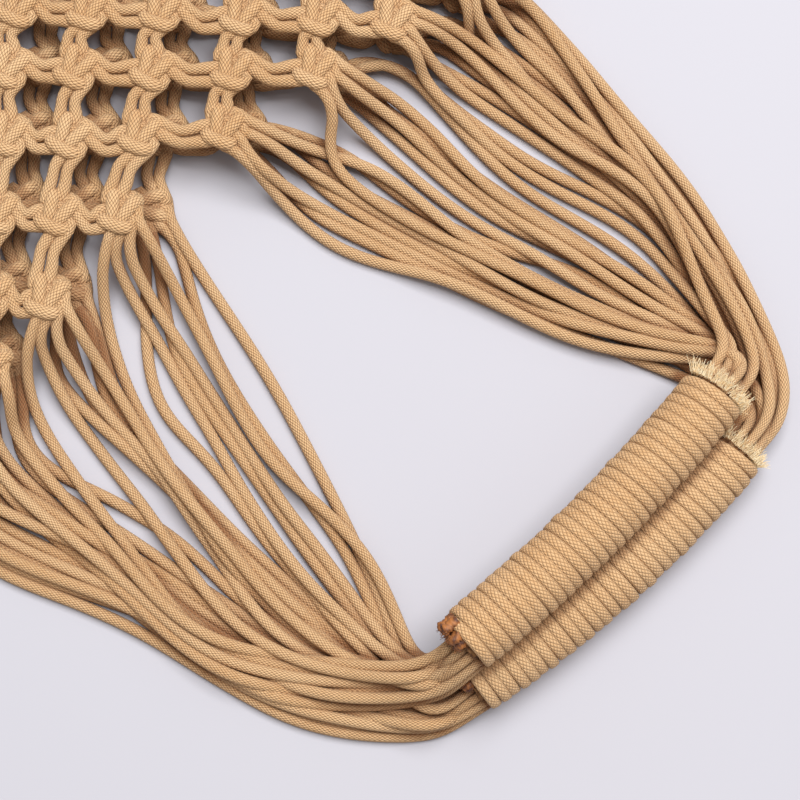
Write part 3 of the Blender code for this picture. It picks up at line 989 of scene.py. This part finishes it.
cotton = {
    "light": srgb(240, 205, 160),
    "main": srgb(226, 184, 134),
    "dark": srgb(200, 150, 98),
    # painted shade for the pits between the yarns of the braid
    "pitShade": srgb(140, 82, 38),
    "shade": srgb(126, 66, 28),   # painted shade, in the deep gaps between cords and on cords under others
    # how much of that painted shade the net, the loose strands and the handle winding get
    "netShade": 0.50,
    "strandShade": 0.75,
    "windingShade": 0.45,
    "stitch": 0.0020,
    "yarns": 12.0,
    "relief": 0.00050,
}


def cottonMaterial(name, braid, tone, pitShadeShare, shadeShare, stitch):
    stuff = bpy.data.materials.new(name)
    stuff.use_nodes = True
    tree = stuff.node_tree
    shader = tree.nodes["Principled BSDF"]
    g = Graph(tree)
    uv = g.add("ShaderNodeUVMap", uv_map="cordUV")
    parts = g.add("ShaderNodeSeparateXYZ")
    g.put(parts, 0, uv.outputs[0])
    weave = g.add("ShaderNodeGroup", node_tree=braid)
    g.put(weave, "Around", parts.outputs[0])
    g.put(weave, "Along", parts.outputs[1])
    weave.inputs["Yarns"].default_value = cotton["yarns"]
    weave.inputs["Stitch"].default_value = stitch
    shade = g.add("ShaderNodeGroup", node_tree=tone)
    g.put(shade, "Around", parts.outputs[0])
    g.put(shade, "Along", parts.outputs[1])
    colour = g.mix(shade.outputs["Tone"], cotton["dark"], cotton["light"])
    colour = g.mix(0.45, colour, cotton["main"])
    yarn = g.mix(g.math("MULTIPLY", weave.outputs["Yarn Tone"], 0.35), colour, cotton["light"])
    yarn = g.mix(g.math("MULTIPLY", g.ramp(shade.outputs["Fibres"], 0.35, 0.75), 0.22), yarn, cotton["dark"])
    # painted shade in the pits of the braid
    colour = g.mix(g.math("MULTIPLY", weave.outputs["Pit Shade"], pitShadeShare), yarn, cotton["pitShade"])
    # painted shade in the deep gaps between cords and on cords under others
    paintedShade = g.add("ShaderNodeAttribute", attribute_name="paintedShade")
    colour = g.mix(g.math("MULTIPLY", paintedShade.outputs["Fac"], shadeShare), colour, cotton["shade"])
    g.tree.links.new(colour, shader.inputs["Base Color"])
    height = g.math("ADD", weave.outputs["Height"], g.math("MULTIPLY", shade.outputs["Fibres"], 0.25))
    bump = g.add("ShaderNodeBump")
    bump.inputs["Strength"].default_value = 1.0
    bump.inputs["Distance"].default_value = cotton["relief"]
    g.tree.links.new(height, bump.inputs["Height"])
    g.tree.links.new(bump.outputs[0], shader.inputs["Normal"])
    shader.inputs["Roughness"].default_value = 0.88
    shader.inputs["Specular IOR Level"].default_value = 0.25
    shader.inputs["Sheen Weight"].default_value = 0.25
    shader.inputs["Sheen Roughness"].default_value = 0.5
    shader.inputs["Sheen Tint"].default_value = srgb(240, 215, 180)
    return stuff


def plainMaterial(name, first, second, scale, roughness, relief):
    stuff = bpy.data.materials.new(name)
    stuff.use_nodes = True
    shader = stuff.node_tree.nodes["Principled BSDF"]
    g = Graph(stuff.node_tree)
    spot = g.add("ShaderNodeTexCoord")
    grain = g.noise(spot.outputs["Object"], scale, 4.0)
    g.tree.links.new(g.mix(g.ramp(grain, 0.35, 0.65), first, second), shader.inputs["Base Color"])
    bump = g.add("ShaderNodeBump")
    bump.inputs["Strength"].default_value = 0.6
    bump.inputs["Distance"].default_value = relief
    g.tree.links.new(grain, bump.inputs["Height"])
    g.tree.links.new(bump.outputs[0], shader.inputs["Normal"])
    shader.inputs["Roughness"].default_value = roughness
    return stuff


# whole cords are swept from handle to handle, and then cut into the pieces of the bag
def makeCords(netStuff, strandStuff, wraps):
    netCords = [netCord(strip, first) for strip in range(half) for first in (True, False)]
    laid = layStrands(netCords)
    settle(laid)
    print("strands settled")
    ends = {(one["cord"], one["face"]): strandPath(one) for one in laid}
    hands = {(one["cord"], one["face"]): one["hand"] for one in laid}
    tubes = {}
    for number, (place, run, faces, cut) in enumerate(netCords):
        before = ends[number, "front"][::-1]
        after = ends[number, "back"]
        whole = np.concatenate([before[:-1], place, after[1:]])
        first = len(before) - 1
        last = first + len(place) - 1
        share = np.concatenate([np.ones(first), run, np.ones(len(after) - 1)])
        facing = np.concatenate([np.tile(faces[0], (first, 1)), faces,
                                 np.tile(faces[-1], (len(after) - 1, 1))])
        near = np.abs(np.arange(len(whole)) - first) < 5
        near |= np.abs(np.arange(len(whole)) - last) < 5
        whole = softenRuns(whole, share * near, 4)
        ring = cordRings(whole, share, facing)
        grip = np.ones(len(whole))
        tip = strand["gripShrink"]
        close = smooth((np.linspace(0, 1, len(before)) - 0.88) / 0.06)
        grip[:len(before)] = (1 - (1 - tip) * close)[::-1]
        grip[last:] = (1 - (1 - tip) * smooth((np.linspace(0, 1, len(after)) - 0.88) / 0.06))
        ring = ring * grip[:, None, None]
        middleOfNet = first + cut
        parts = {
            ("strands", "front", hands[number, "front"]): slice(0, first + 1),
            ("net", "front", hands[number, "front"]): slice(first, middleOfNet + 1),
            ("net", "back", hands[number, "back"]): slice(middleOfNet, last + 1),
            ("strands", "back", hands[number, "back"]): slice(last, len(whole)),
        }
        for part, stretch in parts.items():
            tubes.setdefault(part, []).append((whole[stretch], ring[stretch]))
    mapHeights([tube for own in tubes.values() for tube in own] + wraps)
    for number, ((kind, which, hand), own) in enumerate(sorted(tubes.items())):
        if kind == "net":
            piece = tubesMesh(f"knotted_net_{which}_{hand}", own, number * 32)
            piece.data.materials.append(netStuff)
            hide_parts(f"net_{which}")
        else:
            piece = tubesMesh(f"loose_strands_{which}_{hand}", own, number * 32)
            piece.data.materials.append(strandStuff)
            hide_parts(f"strands_{which}_{hand}")
        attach(piece, "root")


def makeHandles(wraps, wrapStuff, frayStuff, glueStuff, coreStuff):
    for number, which in enumerate(("front", "back")):
        rng = random.Random(20 + number)
        wrap = tubesMesh(f"handle_winding_{which}", [wraps[number]], 300 + number)
        wrap.data.materials.append(wrapStuff)
        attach(wrap, "root")
        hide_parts(f"grip_wrap_{which}")
        fray = tubesMesh(f"frayed_ends_{which}", frayTubes(which, rng), 400)
        fray.data.materials.append(frayStuff)
        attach(fray, "root")
        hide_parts(f"frayed_rim_{which}")
        glued = tubesMesh(f"glued_cord_ends_{which}", stubTubes(which, rng), 900)
        glued.data.materials.append(glueStuff)
        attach(glued, "root")
        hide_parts(f"glued_end_{which}")
        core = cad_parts[f"grip_core_{which}"]
        core.material_slots[0].material = coreStuff


def makeStage():
    bpy.ops.mesh.primitive_plane_add(size=6.0, location=(0, 0, 0))
    floor = bpy.context.object
    floor.name = "floor"
    stuff = bpy.data.materials.new("pale floor")
    stuff.use_nodes = True
    shader = stuff.node_tree.nodes["Principled BSDF"]
    shader.inputs["Base Color"].default_value = srgb(196, 195, 202)
    shader.inputs["Roughness"].default_value = 0.9
    shader.inputs["Specular IOR Level"].default_value = 0.1
    floor.data.materials.append(stuff)


def areaLight(name, place, aim, size, power, colour):
    lamp = bpy.data.lights.new(name, "AREA")
    lamp.size = size
    lamp.energy = power
    lamp.color = colour
    thing = bpy.data.objects.new(name, lamp)
    thing.location = place
    thing.rotation_euler = (Vector(aim) - Vector(place)).to_track_quat("-Z", "Y").to_euler()
    bpy.context.scene.collection.objects.link(thing)


def makeLights():
    world = bpy.data.worlds.new("studio")
    bpy.context.scene.world = world
    world.use_nodes = True
    world.node_tree.nodes["Background"].inputs[0].default_value = (1.0, 0.955, 0.93, 1.0)
    world.node_tree.nodes["Background"].inputs[1].default_value = 0.36
    place, right, up, back = cameraAxes()
    aim = (0.0, -0.05, 0.02)
    key = np.array(aim) + right * 0.40 + up * 0.95 + back * 2.0
    areaLight("key light", tuple(key), aim, 1.6, 69.0, (0.99, 0.99, 1.0))


def makeCamera():
    place, right, up, back = cameraAxes()
    lens = bpy.data.cameras.new("camera")
    lens.lens = view["lens"]
    lens.sensor_width = view["sensor"]
    thing = bpy.data.objects.new("camera", lens)
    thing.location = place
    thing.rotation_euler = Vector(-back).to_track_quat("-Z", "Y").to_euler()
    bpy.context.scene.collection.objects.link(thing)
    bpy.context.scene.camera = thing


def main():
    bpy.context.scene.view_settings.view_transform = "Standard"
    makeCamera()
    prepareKnot()
    layKnots()
    for row in routes:
        key = mouthKey(row["face"], row["column"])
        first = (fromPhoto(*row["inner"][0], 0.01) + fromPhoto(*row["outer"][0], 0.01)) / 2
        leaving[key] = unit((first - knots[key]["place"]) * (1, 1, 0))
    print("knots tied")
    braid = braidGroup()
    tone = cottonGroup()
    netStuff = cottonMaterial("knotted cotton cord", braid, tone, 0.80, cotton["netShade"],
                              cotton["stitch"])
    strandStuff = cottonMaterial("loose cotton cord", braid, tone, 0.80, cotton["strandShade"],
                                 cotton["stitch"])
    wrapStuff = cottonMaterial("wound cotton cord", braid, tone, 0.50, cotton["windingShade"],
                               cotton["stitch"] * 1.1)
    frayStuff = plainMaterial("frayed cotton", srgb(255, 240, 204), srgb(244, 212, 160), 700.0, 0.9, 0.0001)
    glueStuff = plainMaterial("dried glue on cord", srgb(176, 112, 58), srgb(84, 44, 22), 420.0, 0.6, 0.0005)
    coreStuff = plainMaterial("bundled cord", srgb(160, 116, 72), srgb(90, 56, 30), 420.0, 0.9, 0.0005)
    wraps = [wrapTube(which, random.Random(30 + number)) for number, which in enumerate(("front", "back"))]
    makeCords(netStuff, strandStuff, wraps)
    print("net and strands made")
    makeHandles(wraps, wrapStuff, frayStuff, glueStuff, coreStuff)
    print("handles made")
    makeStage()
    makeLights()
    print("stage and lights made")


main()
